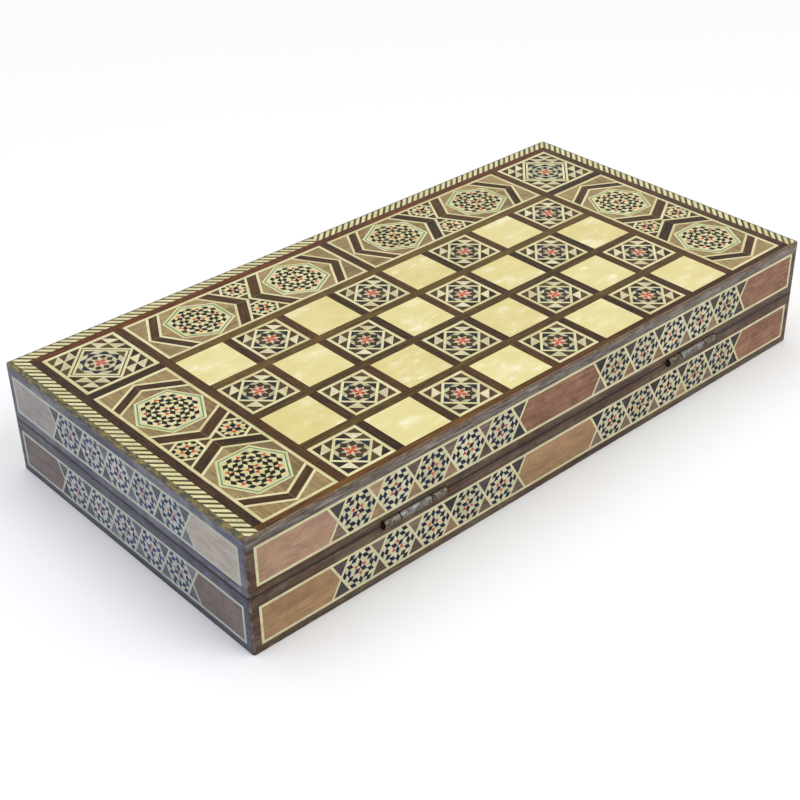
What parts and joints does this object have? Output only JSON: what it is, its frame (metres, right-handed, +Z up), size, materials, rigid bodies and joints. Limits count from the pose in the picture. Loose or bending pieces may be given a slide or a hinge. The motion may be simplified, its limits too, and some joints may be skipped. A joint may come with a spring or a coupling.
{
  "type": "folding chess set box",
  "caption": "Hinged folding wooden box with inlaid chessboard faces, a backgammon interior, chessmen, checkers and dice.",
  "frame": {"origin": "centre of the closed box's footprint, on the surface it stands on", "axes": "+X along the hinge, +Y from the hinge side to the latch side, +Z up"},
  "size_m": [0.4, 0.2066, 0.066],
  "materials": {
    "frame_wood": "worn lacquered walnut rails",
    "board_wood": "plain plywood",
    "walnut_strip": "lacquered walnut",
    "pearl": "lacquered mother of pearl",
    "mosaic": "lacquered marquetry of small wooden and bone pieces",
    "stringing": "lacquered pale stringing",
    "side_veneer": "lacquered rosewood veneer",
    "floor_wood": "satin mahogany veneer",
    "light_wood": "satin boxwood",
    "dark_wood": "satin stained walnut",
    "hinge_metal": "dulled nickel-plated steel",
    "latch_metal": "dull brass",
    "die_plastic": "polished ivory-coloured plastic"
  },
  "bodies": {
    "base": {"base_board": "board_wood", "base_corner_stars": "mosaic", "base_dark_points": "dark_wood", "base_floor": "floor_wood", "base_floor_medallion": "mosaic", "base_hexagon_panels": "mosaic", "base_hinge_rail": "frame_wood", "base_latch_rail": "frame_wood", "base_left_rail": "frame_wood", "base_light_points": "light_wood", "base_pearl_squares": "pearl", "base_right_rail": "frame_wood", "base_side_hexagons": "mosaic", "base_side_stringing": "stringing", "base_side_veneers": "side_veneer", "base_star_squares": "mosaic", "base_striped_banding": "mosaic", "base_walnut_strips": "walnut_strip", "bishops_dark": "dark_wood", "bishops_light": "light_wood", "checkers_dark": "dark_wood", "checkers_light": "light_wood", "dice": "die_plastic", "hinge_base_leaves": "hinge_metal", "hinge_base_screws": "hinge_metal", "hinge_pins": "hinge_metal", "king_dark": "dark_wood", "king_light": "light_wood", "knights_dark": "dark_wood", "knights_light": "light_wood", "latch_stud": "latch_metal", "pawns_dark": "dark_wood", "pawns_light": "light_wood", "queen_dark": "dark_wood", "queen_light": "light_wood", "rooks_dark": "dark_wood", "rooks_light": "light_wood"},
    "lid": {"hinge_lid_leaves": "hinge_metal", "hinge_lid_screws": "hinge_metal", "latch_pivot_screw": "latch_metal", "lid_board": "board_wood", "lid_corner_stars": "mosaic", "lid_dark_points": "dark_wood", "lid_floor": "floor_wood", "lid_floor_medallion": "mosaic", "lid_hexagon_panels": "mosaic", "lid_hinge_rail": "frame_wood", "lid_latch_rail": "frame_wood", "lid_left_rail": "frame_wood", "lid_light_points": "light_wood", "lid_pearl_squares": "pearl", "lid_right_rail": "frame_wood", "lid_side_hexagons": "mosaic", "lid_side_stringing": "stringing", "lid_side_veneers": "side_veneer", "lid_star_squares": "mosaic", "lid_striped_banding": "mosaic", "lid_walnut_strips": "walnut_strip"},
    "hook": {"latch_hook": "latch_metal"}
  },
  "joints": [
    {"name": "lid_hinge", "type": "hinge", "parent": "base", "child": "lid", "pos_m": [0, -0.10108, 0.033], "axis": [1, 0, 0], "range_deg": [0, 180]},
    {"name": "hook_swing", "type": "hinge", "parent": "lid", "child": "hook", "pos_m": [-0.006, 0.10128, 0.0428], "axis": [0, -1, 0], "range_deg": [-90, 30]}
  ]
}
